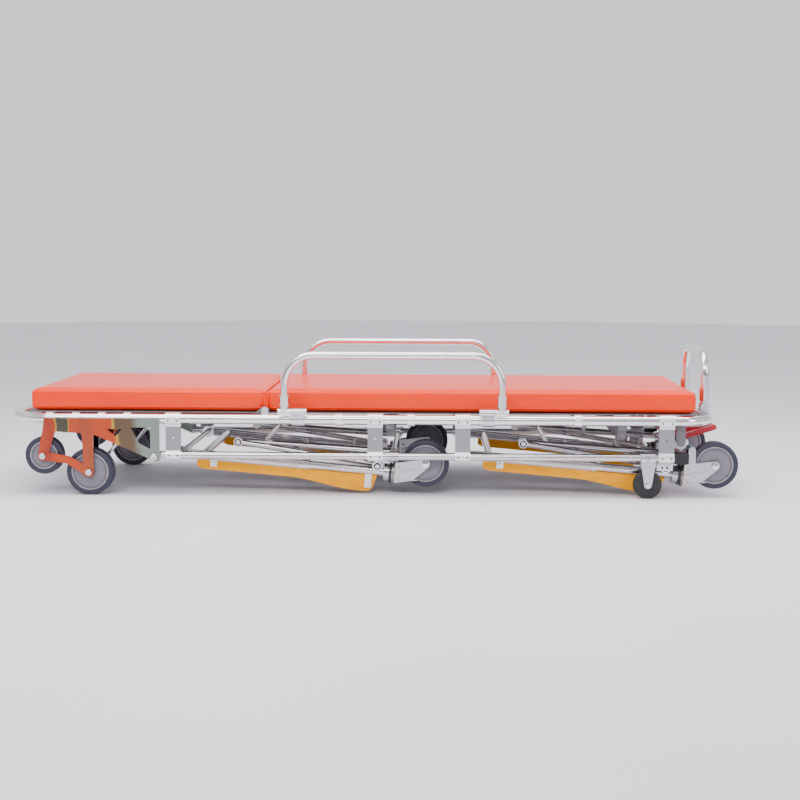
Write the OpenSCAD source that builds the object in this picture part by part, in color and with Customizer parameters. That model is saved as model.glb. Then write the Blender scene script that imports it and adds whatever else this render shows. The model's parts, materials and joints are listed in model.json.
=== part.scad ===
// Automatic-loading ambulance stretcher, folded into its low position.
// Frame: +X to the foot end, -X to the head end, +Z up, Y across, ground at z = 0.
// "right" is the patient's right hand, which is the -Y side.

/* [Overall] */
// Length from the head loop to the rearmost castor
overall_l = 1944; // [1930:1:1960]
// Distance between the two main tubes, centre to centre
frame_w = 524; // [520:1:530]
// Facets on full circles of the plain round parts
round_fn = 48; // [32:8:96]

/* [Main frame] */
// Outside diameter of the upper tube
main_d = 27; // [25:0.5:28]
// Height of the upper tube's centre
main_z = 204; // [202:0.5:206]
// Outside diameter of the lower rail
rail_d = 20; // [18:0.5:21]
// Height of the lower rail's centre
rail_z = 107; // [105:0.5:109]
// Centreline radius of the head loop's corners
head_bend_r = 105; // [90:5:130]
// Centreline radius of the foot loop's corners
foot_bend_r = 85; // [70:5:110]
// X of the foot loop's cross tube
foot_x = 896; // [892:1:900]
// Width of a post plate between the tubes
post_w = 40; // [36:1:42]

/* [Mattress] */
// X of the seam, where the backrest hinges
seam_x = -278; // [-285:1:-270]
// Head end of the mattress
head_end_x = -908; // [-912:1:-900]
// Foot end of the mattress
foot_end_x = 860; // [855:1:864]
// Width of the mattress
mattress_w = 496; // [480:2:498]
// Underside of the mattress
mattress_z = 221; // [221:0.5:222]
// Top of the mattress
mattress_top = 281; // [275:1:285]

/* [Side rails] */
// Distance between a side rail's two legs
side_rail_l = 570; // [540:5:590]
// X of the side rail's middle
side_rail_x = 60; // [50:1:70]
// Outside diameter of the side rail tube
side_rail_d = 20; // [18:0.5:20]
// Top of the side rail
side_rail_top = 386; // [370:1:390]
// Distance of the side rail's hinge from the middle
side_hinge_y = 284; // [284:0.5:285]
// Height of the side rail's hinge
side_hinge_z = 226; // [225:0.5:227]

/* [Push handle] */
// Distance between the handle's legs
handle_w = 286; // [260:2:300]
// Outside diameter of the handle tube
handle_d = 22; // [20:0.5:22]
// Top of the handle
handle_top = 386; // [370:1:390]

/* [Folding legs] */
// Distance between the front and the rear leg pivots
leg_pitch = 764; // [764:1:766]
// Distance between a pair's leg tubes
leg_track = 444; // [442:1:446]
// Slope of the folded legs in degrees
leg_tilt = 5; // [5:0.5:5.5]
// Outside diameter of the leg tube
leg_d = 23; // [22:0.5:24]
// Diameter of the cross shafts the legs and braces turn on
shaft_d = 16; // [14:0.5:16]
// Distance along the leg to the castor's swivel face
swivel_u = 572; // [570:1:573]

/* [Wheels] */
// Diameter of the castors on the legs
castor_d = 125; // [120:1:125]
// Width of the castor tyre
castor_w = 32; // [28:1:32]
// Distance from the swivel face to the castor's axle
castor_reach = 82; // [80:1:82]
// Offset of the castor's axle from its swivel axis
castor_trail = 35; // [32:1:35]
// Diameter of the big head wheels
head_wheel_d = 125; // [120:1:125]
// Diameter of the loading wheels
loading_wheel_d = 100; // [95:1:100]
// Diameter of the small support wheels
support_wheel_d = 75; // [70:1:75]

/* [Hidden] */
$fn = round_fn;

// radial play of every turning fit
fit = 0.05;
clip_x = [-848, -779, -710, -642, -83, 107, 545];
rail_y = frame_w / 2;
main_r = main_d / 2;
rail_r = rail_d / 2;
head_x = -overall_l / 2 + main_r;

// leg pivots: the rear castor's tyre ends at half of the overall length
castor_u = swivel_u + castor_reach;
rear_pivot_x = overall_l / 2 - castor_d / 2 - castor_u * cos(leg_tilt) - castor_trail * sin(leg_tilt);
front_pivot_x = rear_pivot_x - leg_pitch;
pivot_x = [front_pivot_x, rear_pivot_x];
leg_y = leg_track / 2;
leg_r = leg_d / 2;
shaft_r = shaft_d / 2;
clamp_wall = 3.5;
shaft_end = rail_y - rail_r - clamp_wall - 0.3;

// where the leg tube ends in its swivel housing
housing_u = swivel_u - 27;

// knee brace: the knee and the brace's top from the leg pivot, and its foot in the leg's own axes
knee = [151, 27.5];
brace_top_dx = 569;
brace_foot = [527, 15];
upper_brace_y = 181;
upper_brace_r = 9;
lower_brace_y = 200;
lower_brace_r = 7.8;
eye_r = 12;

// posts stand beside the leg pivots and the brace ends
post_x = [front_pivot_x - 12, front_pivot_x + 522, rear_pivot_x - 12, rear_pivot_x + 522];
rail_start_x = post_x[0] - 43;
rail_end_x = rear_pivot_x + brace_top_dx + 8;

// side rails
side_leg_x = [side_rail_x - side_rail_l / 2, side_rail_x + side_rail_l / 2];
side_r = side_rail_d / 2;
side_bend_r = 78;
barrel_r = 9.5;
side_pin_r = 5;

// push handle
handle_y = handle_w / 2;
handle_r = handle_d / 2;
handle_hinge_z = main_z + main_r + 13.5;
handle_bend_r = 60;
handle_pin_r = 4;

// backrest
backrest_hinge_z = mattress_z + 7;
backrest_pin_r = 4;
deck_t = 2.5;
deck_z = mattress_z - 0.4 - deck_t;
deck_y = rail_y - 13;

// head end wheels
plate_y = rail_y + main_r + 0.1;
plate_t = 5;
head_axle = [-744, head_wheel_d / 2];
loading_axle = [-866, 105];
head_wheel_y = 255;
axle_r = 5;

// brake pedal hinge, along and above the leg
pedal_hinge = [swivel_u + 18, 70];

// support wheels
support_x = 729;
support_r = support_wheel_d / 2;

// release levers
foot_lever_hinge = [817, 148];
head_lever_hinge = [-772, 158];
lever_shaft_r = 7;

/* ---- building blocks ---- */

module rod_x(x0, x1, y, z, r) {
    translate([x0, y, z]) rotate([0, 90, 0]) cylinder(h = x1 - x0, r = r);
}

module rod_y(y0, y1, x, z, r) {
    translate([x, y0, z]) rotate([-90, 0, 0]) cylinder(h = y1 - y0, r = r);
}

// a straight rod between two points of the XZ plane at y
module rod_xz(a, b, y, r) {
    d = b - a;
    translate([a[0], y, a[1]]) rotate([0, atan2(d[0], d[1]), 0]) cylinder(h = norm(d), r = r);
}

// a flat outline drawn in x and z, y0 to y1 thick
module slab_xz(y0, y1) {
    translate([0, y1, 0]) rotate([90, 0, 0]) linear_extrude(y1 - y0) children();
}

// a flat outline drawn in y and z, x0 to x1 thick
module slab_yz(x0, x1) {
    translate([x0, 0, 0]) rotate([90, 0, 90]) linear_extrude(x1 - x0) children();
}

module both_sides() {
    children();
    mirror([0, 1, 0]) children();
}

// side is -1 for right and 1 for left; the children are drawn on the left
module on_side(side) {
    scale_y = side > 0 ? 0 : 1;
    mirror([0, scale_y, 0]) children();
}

// a round ended bar outline between two points
module bar_2d(a, b, wa, wb) {
    d = b - a;
    l = norm(d);
    translate(a) rotate(atan2(d[1], d[0])) {
        polygon([[0, -wa / 2], [l, -wb / 2], [l, wb / 2], [0, wa / 2]]);
        circle(d = wa);
        translate([l, 0]) circle(d = wb);
    }
}

// a block with its lowest and highest corners
module block(a, b) {
    translate(a) cube(b - a);
}

// a closed tube loop in the XY plane with two corner radii
module tube_loop(x0, x1, half_w, z, r, bend0, bend1) {
    both_sides() {
        rod_x(x0 + bend0, x1 - bend1, half_w, z, r);
        translate([x0 + bend0, half_w - bend0, z])
            rotate([0, 0, 90]) rotate_extrude(angle = 90) translate([bend0, 0]) circle(r);
        translate([x1 - bend1, half_w - bend1, z])
            rotate_extrude(angle = 90) translate([bend1, 0]) circle(r);
    }
    rod_y(-half_w + bend0, half_w - bend0, x0, z, r);
    rod_y(-half_w + bend1, half_w - bend1, x1, z, r);
}

// an upright U standing in the XZ plane at y
module u_tube_xz(x0, x1, z0, z1, y, r, bend) {
    for (x = [x0, x1]) translate([x, y, z0]) cylinder(h = z1 - bend - z0, r = r);
    rod_x(x0 + bend, x1 - bend, y, z1, r);
    translate([x0 + bend, y, z1 - bend]) rotate([90, 0, 0])
        rotate([0, 0, 90]) rotate_extrude(angle = 90) translate([bend, 0]) circle(r);
    translate([x1 - bend, y, z1 - bend]) rotate([90, 0, 0])
        rotate_extrude(angle = 90) translate([bend, 0]) circle(r);
}

// an upright U standing in the YZ plane at x
module u_tube_yz(half_w, z0, z1, x, r, bend) {
    rotate([0, 0, 90]) u_tube_xz(-half_w, half_w, z0, z1, -x, r, bend);
}

// a ring clamped round a tube that runs along X
module clamp_ring(x0, x1, y, z, tube_r, wall) {
    difference() {
        rod_x(x0, x1, y, z, tube_r + wall);
        rod_x(x0 - 1, x1 + 1, y, z, tube_r);
    }
}

// what a clip takes up on a side tube, with room to fit it
module clip_room() {
    for (x = clip_x) rod_x(x - 9.55, x + 9.55, rail_y, main_z, main_r + 3 + fit);
}

// what the side tubes, the foot bends and the clips take out of the parts that hang on them
module main_tube_room() {
    both_sides() {
        rod_x(head_x, foot_x, rail_y, main_z, main_r);
        translate([foot_x - foot_bend_r, rail_y - foot_bend_r, main_z])
            rotate_extrude(angle = 90) translate([foot_bend_r, 0]) circle(main_r);
        clip_room();
    }
}

// places its children in a leg's own frame: x along the leg, z above it
module in_leg(index) {
    translate([pivot_x[index], 0, rail_z]) rotate([0, leg_tilt, 0]) children();
}

// places its children on a castor's swivel axis, which runs along x
module at_swivel(index, side) {
    in_leg(index) translate([0, side * leg_y, 0]) children();
}

/* ---- main frame ---- */

module upper_frame() {
    color("silver")
        tube_loop(head_x, foot_x, rail_y, main_z, main_r, head_bend_r, foot_bend_r);
}

module lower_rails() {
    color("gainsboro") both_sides() rod_x(rail_start_x, rail_end_x, rail_y, rail_z, rail_r);
}

// plate with a saddle clamp round each tube
module post(x) {
    w = post_w / 2;
    wall = clamp_wall;
    foot = rail_z + rail_r;
    head = main_z - main_r;
    difference() {
        union() {
            clamp_ring(x - w, x + w, rail_y, main_z, main_r, wall);
            clamp_ring(x - w, x + w, rail_y, rail_z, rail_r, wall);
            slab_xz(rail_y + 3, rail_y + 8)
                translate([x - w, foot - 4]) square([post_w, head - foot + 8]);
        }
        rod_x(x - w - 1, x + w + 1, rail_y, main_z, main_r);
        rod_x(x - w - 1, x + w + 1, rail_y, rail_z, rail_r);
        rod_y(rail_y - 20, rail_y + 20, x, (foot + head) / 2, 3);
    }
}

module posts() {
    color("darkgray") both_sides() for (x = post_x) post(x);
}

// box tubes and round tubes across the frame, and the shafts of the release levers
module cross_members() {
    reach = rail_y - 18;
    low_z = main_z - 15;
    color("slategray") difference() {
        union() {
            for (x = [post_x[1] + 38, post_x[3] - 115]) {
                block([x - 11, -reach, 157], [x + 11, reach, 187]);
                both_sides() block([x - 11, reach, 180], [x + 11, rail_y, main_z]);
            }
            for (x = [-640, 560]) rod_y(-rail_y, rail_y, x, low_z, 8);
            rod_y(-rail_y, rail_y, head_lever_hinge[0], low_z, 9);
            rod_y(-rail_y + 12, rail_y - 12, foot_lever_hinge[0], foot_lever_hinge[1], lever_shaft_r);
            both_sides() slab_xz(rail_y - 17, rail_y - 12)
                bar_2d(foot_lever_hinge, [foot_lever_hinge[0], main_z - 6], 24, 24);
            rod_y(-100, 100, head_lever_hinge[0], head_lever_hinge[1], lever_shaft_r);
            both_sides() slab_xz(95, 100)
                bar_2d(head_lever_hinge, [head_lever_hinge[0], low_z], 24, 18);
        }
        main_tube_room();
    }
}

module pivot_shafts() {
    color("lightgray") for (x = pivot_x) {
        rod_y(-shaft_end, shaft_end, x, rail_z, shaft_r);
        rod_y(-shaft_end, shaft_end, x + brace_top_dx, rail_z, shaft_r);
    }
}

// bosses that hold the cross shafts; beside a post they stand on its clamp
module shaft_lugs() {
    seat_r = rail_r + clamp_wall;
    color("gray") both_sides() {
        for (x = pivot_x) difference() {
            rod_y(rail_y - 25, rail_y - 9, x, rail_z, 12.5);
            rod_x(x - 15, x + 15, rail_y, rail_z, seat_r);
            rod_y(rail_y - 26, shaft_end, x, rail_z, shaft_r);
        }
        brace_x = front_pivot_x + brace_top_dx;
        difference() {
            union() {
                rod_x(brace_x - 14, brace_x + 14, rail_y, rail_z, seat_r);
                rod_y(rail_y - 25, rail_y - rail_r, brace_x, rail_z, 12.5);
            }
            rod_x(brace_x - 15, brace_x + 15, rail_y, rail_z, rail_r);
            rod_y(rail_y - 26, shaft_end, brace_x, rail_z, shaft_r);
        }
    }
}

// moulded end blocks of the lower rails, which hold the rear brace shaft
module rear_pivot_blocks() {
    x0 = rail_end_x - 35;
    x1 = rail_end_x + 2.5;
    color([0.1, 0.1, 0.11]) both_sides() difference() {
        slab_xz(rail_y - 22, rail_y + 14) translate([x0, rail_z - 14]) square([x1 - x0, 28]);
        rod_x(x0 - 1, rail_end_x, rail_y, rail_z, rail_r);
        rod_y(rail_y - 23, shaft_end, rear_pivot_x + brace_top_dx, rail_z, shaft_r);
    }
}

// saddle, arm and pin that carry a side rail; toward is the way the arm runs from the leg
module rail_clamp(x, toward) {
    arm0 = x + toward * 17.5;
    arm1 = x + toward * 59;
    saddle0 = x + toward * 18;
    saddle1 = x + toward * 50;
    y = side_hinge_y;
    z = side_hinge_z;
    difference() {
        union() {
            clamp_ring(min(saddle0, saddle1), max(saddle0, saddle1), rail_y, main_z, main_r, 4);
            rod_x(min(arm0, arm1), max(arm0, arm1), y, z, barrel_r);
            slab_yz(min(saddle0, saddle1), max(saddle0, saddle1))
                bar_2d([rail_y + 10, main_z + 10], [y, z], 14, 14);
        }
        rod_x(x - 90, x + 90, rail_y, main_z, main_r);
    }
    rod_x(min(x - toward * 14, arm0), max(x - toward * 14, arm0), y, z, side_pin_r);
}

module rail_clamps() {
    color("silver") both_sides() {
        rail_clamp(side_leg_x[0], 1);
        rail_clamp(side_leg_x[1], -1);
    }
}

// saddles on the upper tube; those at the head end stop at the wheel plates
module frame_clips() {
    top = main_z + 2.1;
    color("whitesmoke") both_sides() difference() {
        for (x = clip_x) clamp_ring(x - 9.5, x + 9.5, rail_y, main_z, main_r, 3);
        block([-870, rail_y + main_r - 0.6, 150], [-550, plate_y + 20, top]);
    }
}

// plate that carries the head wheel and the loading wheel
module head_bracket() {
    top = main_z + 2;
    color([0.78, 0.31, 0.18]) slab_xz(plate_y, plate_y + plate_t) difference() {
        union() {
            polygon([[-862, top], [-862, 172], [-733, 164], [-568, 93], [-556, 93], [-556, top]]);
            bar_2d([-846, 185], loading_axle, 34, 26);
            bar_2d(loading_axle, [-800, 95], 24, 20);
            bar_2d([-800, 95], head_axle, 20, 26);
            bar_2d([-747, 178], head_axle, 30, 26);
        }
        polygon([[-696, 178], [-655, 178], [-672, 158]]);
        polygon([[-632, 182], [-580, 182], [-580, 125], [-610, 140]]);
        translate(head_axle) circle(axle_r);
        translate(loading_axle) circle(axle_r);
    }
}

module head_bracket_right() { on_side(-1) head_bracket(); }
module head_bracket_left() { on_side(1) head_bracket(); }

// axle, nuts, spacers and inner hanger of each head end wheel
module wheel_axles() {
    hanger_y = head_wheel_y - 30;
    color("silver") both_sides() difference() {
        for (a = [head_axle, loading_axle]) {
            rod_y(hanger_y, plate_y + plate_t, a[0], a[1], axle_r);
            rod_y(plate_y + plate_t, plate_y + plate_t + 6, a[0], a[1], 8.5);
            rod_y(hanger_y - 6, hanger_y, a[0], a[1], 8.5);
            rod_y(head_wheel_y + 17.3, plate_y, a[0], a[1], 8);
            rod_y(hanger_y + 4, head_wheel_y - 17.3, a[0], a[1], 8);
            slab_xz(hanger_y, hanger_y + 4) bar_2d(a, [a[0] + 6, main_z - 20], 26, 20);
            slab_xz(hanger_y, rail_y) translate([a[0] - 4, main_z - 24]) square([12, 10]);
        }
        rod_x(head_x, foot_x, rail_y, main_z, main_r);
        translate([head_x + head_bend_r, rail_y - head_bend_r, main_z])
            rotate([0, 0, 90]) rotate_extrude(angle = 90) translate([head_bend_r, 0]) circle(main_r);
    }
}

// saddle with two ears on the foot tube, one for each leg of the push handle
module handle_sockets() {
    color("silver") both_sides() {
        difference() {
            union() {
                rod_y(handle_y - 15, handle_y + 15, foot_x, main_z, main_r + 4);
                for (y = [handle_y - 15, handle_y + 9]) slab_xz(y, y + 6) {
                    translate([foot_x - 12, main_z]) square([24, handle_hinge_z - main_z]);
                    translate([foot_x, handle_hinge_z]) circle(12);
                }
            }
            rod_y(handle_y - 16, handle_y + 16, foot_x, main_z, main_r);
            slab_xz(handle_y - 8.5, handle_y + 8.5)
                translate([foot_x, handle_hinge_z]) circle(14);
        }
        rod_y(handle_y - 17, handle_y + 17, foot_x, handle_hinge_z, handle_pin_r);
    }
}

// fork that hangs a support wheel under the lower rail
module support_forks() {
    z = support_r;
    y = rail_y;
    color("lightslategray") both_sides() {
        difference() {
            union() {
                rod_x(support_x - 19, support_x + 19, y, rail_z, rail_r + 4);
                block([support_x - 19, y - 15, rail_z - 24], [support_x + 19, y + 15, rail_z]);
                for (side = [-1, 1]) slab_xz(y + side * 13 - 2, y + side * 13 + 2)
                    bar_2d([support_x, rail_z - 20], [support_x, z], 36, 20);
            }
            rod_x(support_x - 20, support_x + 20, y, rail_z, rail_r);
        }
        rod_y(y - 19, y + 19, support_x, z, 4);
    }
}

/* ---- mattress, decks and backrest ---- */

module foot_deck() {
    color("slategray")
        block([seam_x + 3, -deck_y, deck_z], [foot_end_x - 4, deck_y, deck_z + deck_t]);
}

// closed outline of a cushion in x and z with soft corners, relieved beside the seam
module cushion_2d(outer_x, face_x, lean) {
    s = sign(face_x - outer_x);
    soft = 14;
    z0 = mattress_z;
    z1 = mattress_top;
    polygon([[outer_x + s * 5, z0], [outer_x, z0 + 8], [outer_x, z1 - soft],
             [outer_x + s * 4, z1 - 4], [outer_x + s * soft, z1],
             [face_x - s * lean, z1], [face_x, z0 + 6], [face_x, z0]]);
}

module foot_cushion() {
    y = mattress_w / 2;
    color([1, 0.35, 0.2]) slab_xz(-y, y) cushion_2d(foot_end_x, seam_x + 2, 44);
}

module head_cushion() {
    y = mattress_w / 2;
    color([1, 0.35, 0.2]) slab_xz(-y, y) cushion_2d(head_end_x, seam_x - 2, 44);
}

// lug and pin on the upper tube for each end of the backrest hinge
module backrest_lugs() {
    y = rail_y - 4.5;
    z = backrest_hinge_z;
    color("silver") both_sides() {
        difference() {
            slab_xz(y, y + 10) {
                translate([seam_x, z]) circle(9);
                translate([seam_x - 9, main_z]) square([18, z - main_z]);
            }
            rod_x(seam_x - 20, seam_x + 20, rail_y, main_z, main_r);
        }
        rod_y(y - 8, y + 5, seam_x, z, backrest_pin_r);
    }
}

module backrest_frame() {
    y = rail_y - 30;
    r = 8;
    z = deck_z - r;
    x0 = head_end_x + 12;
    x1 = seam_x - 14;
    color("silver") {
        tube_loop(x0, x1, y, z, r, 60, 20);
        for (x = [x0 + 190, x0 + 400]) rod_y(-y, y, x, z, r);
    }
}

// sheet under the head cushion with its two hinge ears
module backrest_deck() {
    ear0 = rail_y - 11.5;
    ear1 = rail_y - 6.5;
    z = backrest_hinge_z;
    color("slategray") {
        block([head_end_x + 4, -deck_y, deck_z], [seam_x - 4, deck_y, deck_z + deck_t]);
        both_sides() difference() {
            union() {
                block([seam_x - 30, deck_y - 5, deck_z], [seam_x - 4, ear1, deck_z + deck_t]);
                slab_xz(ear0, ear1) {
                    translate([seam_x, z]) circle(8.5);
                    polygon([[seam_x - 30, deck_z], [seam_x - 4, deck_z], [seam_x, z - 8.5],
                             [seam_x, z + 8.5], [seam_x - 8, z + 8.5]]);
                }
            }
            rod_y(ear0 - 1, ear1 + 1, seam_x, z, backrest_pin_r + fit);
        }
    }
}

/* ---- side rails and push handle ---- */

module side_rail() {
    y = side_hinge_y;
    z = side_hinge_z;
    color("silver") difference() {
        union() {
            u_tube_xz(side_leg_x[0], side_leg_x[1], z, side_rail_top - side_r, y, side_r, side_bend_r);
            for (x = side_leg_x) {
                rod_x(x - 17, x + 17, y, z, barrel_r);
                translate([x, y, z + 14]) cylinder(h = 30, r = 13);
                translate([x, y, z]) cylinder(h = 16, r = 9.5);
            }
        }
        for (x = side_leg_x) rod_x(x - 20, x + 20, y, z, side_pin_r + fit);
    }
}

module side_rail_right() { on_side(-1) side_rail(); }
module side_rail_left() { on_side(1) side_rail(); }

module push_handle() {
    z = handle_hinge_z;
    color("silver") difference() {
        union() {
            u_tube_yz(handle_y, z, handle_top - handle_r, foot_x, handle_r, handle_bend_r);
            both_sides() {
                rod_y(handle_y - 8, handle_y + 8, foot_x, z, 12);
                translate([foot_x, handle_y, z + 18]) cylinder(h = 34, r = 13.5);
            }
        }
        for (side = [-1, 1]) {
            rod_y(side * handle_y - 20, side * handle_y + 20, foot_x, z, handle_pin_r + fit);
            block([foot_x - 16, side * handle_y - 16, z - 16], [foot_x + 16, side * handle_y - 8, z + 15]);
            block([foot_x - 16, side * handle_y + 8, z - 16], [foot_x + 16, side * handle_y + 16, z + 15]);
        }
    }
}

/* ---- folding legs ---- */

// a pair of leg tubes with cross tubes, brace ears and skid tabs
module leg_pair(index) {
    pin_r = shaft_r - 1;
    color("silver") in_leg(index) difference() {
        union() {
            both_sides() {
                rod_y(leg_y - 12, leg_y + 12, 0, 0, 17);
                rod_x(10, housing_u, leg_y, 0, leg_r);
                rod_y(leg_y - 12, leg_y + 12, brace_foot[0], brace_foot[1], 14);
                for (tab = [[90, -28], [505, -46]])
                    block([tab[0] - 9, leg_y + 4.3, tab[1]], [tab[0] + 9, leg_y + 7.3, 4]);
            }
            for (u = [60, 300]) rod_y(-leg_y, leg_y, u, 0, 10);
            rod_y(-leg_y, leg_y, brace_foot[0], brace_foot[1], pin_r);
        }
        rod_y(-leg_y - 13, leg_y + 13, 0, 0, shaft_r + fit);
    }
}

// swivel housings at the ends of a pair of legs
module housing_pair(index) {
    color("gray") in_leg(index) both_sides() difference() {
        rod_x(housing_u, swivel_u - 4, leg_y, 0, 24);
        rod_x(housing_u + 5, swivel_u, leg_y, 0, 8 + fit);
    }
}

module front_leg() { leg_pair(0); }
module rear_leg() { leg_pair(1); }
module front_housings() { housing_pair(0); }
module rear_housings() { housing_pair(1); }

// underside of a skid: level, then swelling towards the castor
function skid_depth(u) = 36 + 20 * (1 - cos(180 * max(0, min(1, (u - 290) / 190)))) / 2;

module skid_pair(index) {
    edge = [for (u = [60:20:480]) [u, -skid_depth(u)]];
    toe = [for (a = [0:15:75]) [500 + 20 * sin(a), -36 - 20 * cos(a)]];
    color([0.93, 0.7, 0]) in_leg(index) both_sides() slab_xz(leg_y - 4, leg_y + 4)
        polygon(concat([[45, -leg_r - 0.2], [45, -30]], edge, toe, [[528, -leg_r - 0.2]]));
}

module front_skids() { skid_pair(0); }
module rear_skids() { skid_pair(1); }

// the knee and the two ends of its braces, in the frame's x and z
function knee_at(index) = [pivot_x[index] + knee[0], rail_z + knee[1]];
function brace_top(index) = [pivot_x[index] + brace_top_dx, rail_z];
function brace_foot_at(index) = [
    pivot_x[index] + brace_foot[0] * cos(leg_tilt) + brace_foot[1] * sin(leg_tilt),
    rail_z - brace_foot[0] * sin(leg_tilt) + brace_foot[1] * cos(leg_tilt)];

// the two braces that turn on a frame shaft, tied by a cross tube
module upper_brace(index) {
    a = knee_at(index);
    b = brace_top(index);
    tie = a + (b - a) * 0.16;
    y = upper_brace_y;
    color("gainsboro") difference() {
        union() {
            both_sides() {
                rod_xz(a, b, y, upper_brace_r);
                for (p = [a, b]) rod_y(y - 10, y + 10, p[0], p[1], eye_r);
            }
            rod_y(-y, y, tie[0], tie[1], 6);
        }
        rod_y(-y - 12, y + 12, b[0], b[1], shaft_r + fit);
    }
}

// the two braces that turn on the leg, tied by a cross tube
module lower_brace(index) {
    a = knee_at(index);
    b = brace_foot_at(index);
    tie = a + (b - a) * 0.78;
    y = lower_brace_y;
    color("gainsboro") difference() {
        union() {
            both_sides() {
                rod_xz(a, b, y, lower_brace_r);
                for (p = [a, b]) rod_y(y - 8.5, y + 8, p[0], p[1], eye_r);
            }
            rod_y(-y, y, tie[0], tie[1], 5);
        }
        rod_y(-y - 12, y + 12, b[0], b[1], shaft_r - 1 + fit);
    }
}

module front_upper_brace() { upper_brace(0); }
module rear_upper_brace() { upper_brace(1); }
module front_lower_brace() { lower_brace(0); }
module rear_lower_brace() { lower_brace(1); }

/* ---- castors ---- */

// fork with its stem; the axis of swivel runs along x
module castor_fork(index, side, brake) {
    gap = castor_w / 2 + 2.5;
    wall = 3;
    color("silver") at_swivel(index, side) {
        rod_x(552, swivel_u + 4, 0, 0, 8);
        rod_x(swivel_u - 3.5, swivel_u + 2, 0, 0, 30);
        block([swivel_u + 2, -gap - wall, -20], [swivel_u + 6, gap + wall, 24]);
        for (s = [-1, 1]) slab_xz(s * (gap + wall / 2) - wall / 2, s * (gap + wall / 2) + wall / 2)
            difference() {
                union() {
                    polygon([[swivel_u + 2, -24], [swivel_u + 2, 30], [castor_u, castor_trail + 12],
                             [castor_u + 10, castor_trail - 8], [swivel_u + 50, -14]]);
                    translate([castor_u, castor_trail]) circle(12);
                    if (brake) bar_2d([swivel_u + 20, 20], pedal_hinge, 24, 18);
                }
                if (brake) translate(pedal_hinge) circle(3);
            }
        rod_y(-gap - wall - 5, gap + wall + 5, castor_u, castor_trail, 5);
        if (brake) rod_y(-gap - wall - 2, gap + wall + 2, pedal_hinge[0], pedal_hinge[1], 3);
    }
}

module fork_front_right() { castor_fork(0, -1, false); }
module fork_front_left() { castor_fork(0, 1, false); }
module fork_rear_right() { castor_fork(1, -1, true); }
module fork_rear_left() { castor_fork(1, 1, true); }

// a wheel body turned about y: hub disc with a rim, a boss and a plain bore
module wheel_hub(d, w, bore) {
    rim_r = d / 2 - 12;
    rotate([90, 0, 0]) rotate_extrude()
        polygon([[bore, -w / 2 - 1], [11, -w / 2 - 1], [14, -w / 2 + 4], [rim_r - 8, -w / 2 + 4],
                 [rim_r - 5, -w / 2 + 1], [rim_r, -w / 2 + 1], [rim_r, w / 2 - 1],
                 [rim_r - 5, w / 2 - 1], [rim_r - 8, w / 2 - 4], [14, w / 2 - 4],
                 [11, w / 2 + 1], [bore, w / 2 + 1]]);
}

module wheel_tyre(d, w) {
    rim_r = d / 2 - 12;
    rotate([90, 0, 0]) rotate_extrude()
        polygon([[rim_r, -w / 2 + 1], [rim_r + 5, -w / 2], [d / 2 - 2.5, -w / 2 + 4],
                 [d / 2, -w / 2 + 10], [d / 2, w / 2 - 10], [d / 2 - 2.5, w / 2 - 4],
                 [rim_r + 5, w / 2], [rim_r, w / 2 - 1]]);
}

module at_castor(index, side) {
    at_swivel(index, side) translate([castor_u, 0, castor_trail]) children();
}

module castor_hub(index, side) {
    color([0.6, 0.59, 0.63]) at_castor(index, side) wheel_hub(castor_d, castor_w, 5 + fit);
}

module castor_tyre(index, side) {
    color([0.27, 0.27, 0.35]) at_castor(index, side) wheel_tyre(castor_d, castor_w);
}

module castor_hub_front_right() { castor_hub(0, -1); }
module castor_hub_front_left() { castor_hub(0, 1); }
module castor_hub_rear_right() { castor_hub(1, -1); }
module castor_hub_rear_left() { castor_hub(1, 1); }
module castor_tyre_front_right() { castor_tyre(0, -1); }
module castor_tyre_front_left() { castor_tyre(0, 1); }
module castor_tyre_rear_right() { castor_tyre(1, -1); }
module castor_tyre_rear_left() { castor_tyre(1, 1); }

// brake pedal between the fork's two upper tabs
module brake_pedal(side) {
    u = pedal_hinge[0];
    h = pedal_hinge[1];
    half = castor_w / 2 + 1.5;
    color([0.08, 0.42, 0.38]) at_swivel(1, side) difference() {
        union() {
            rod_y(-half, half, u, h, 6.5);
            slab_xz(-half, half)
                polygon([[u - 5, h - 4], [u - 9, h + 4], [u - 9, h + 9], [u - 4, h + 10], [u + 5, h + 4]]);
        }
        rod_y(-half - 1, half + 1, u, h, 3 + fit);
    }
}

module brake_pedal_right() { brake_pedal(-1); }
module brake_pedal_left() { brake_pedal(1); }

/* ---- head end and support wheels ---- */

module head_end_hub(axle, d, w, side) {
    color("darkgray") translate([axle[0], side * head_wheel_y, axle[1]]) wheel_hub(d, w, axle_r + fit);
}

module head_end_tyre(axle, d, w, side) {
    color("dimgray") translate([axle[0], side * head_wheel_y, axle[1]]) wheel_tyre(d, w);
}

module head_wheel_hub_right() { head_end_hub(head_axle, head_wheel_d, 32, -1); }
module head_wheel_hub_left() { head_end_hub(head_axle, head_wheel_d, 32, 1); }
module head_wheel_tyre_right() { head_end_tyre(head_axle, head_wheel_d, 32, -1); }
module head_wheel_tyre_left() { head_end_tyre(head_axle, head_wheel_d, 32, 1); }
module loading_wheel_hub_right() { head_end_hub(loading_axle, loading_wheel_d, 32, -1); }
module loading_wheel_hub_left() { head_end_hub(loading_axle, loading_wheel_d, 32, 1); }
module loading_wheel_tyre_right() { head_end_tyre(loading_axle, loading_wheel_d, 32, -1); }
module loading_wheel_tyre_left() { head_end_tyre(loading_axle, loading_wheel_d, 32, 1); }

module support_wheel(side) {
    color([0.12, 0.12, 0.13]) translate([support_x, side * rail_y, support_r])
        rotate([90, 0, 0]) rotate_extrude()
            polygon([[4 + fit, -10.5], [9, -10.5], [12, -8], [support_r - 3, -9], [support_r, -6],
                     [support_r, 6], [support_r - 3, 9], [12, 8], [9, 10.5], [4 + fit, 10.5]]);
}

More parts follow.
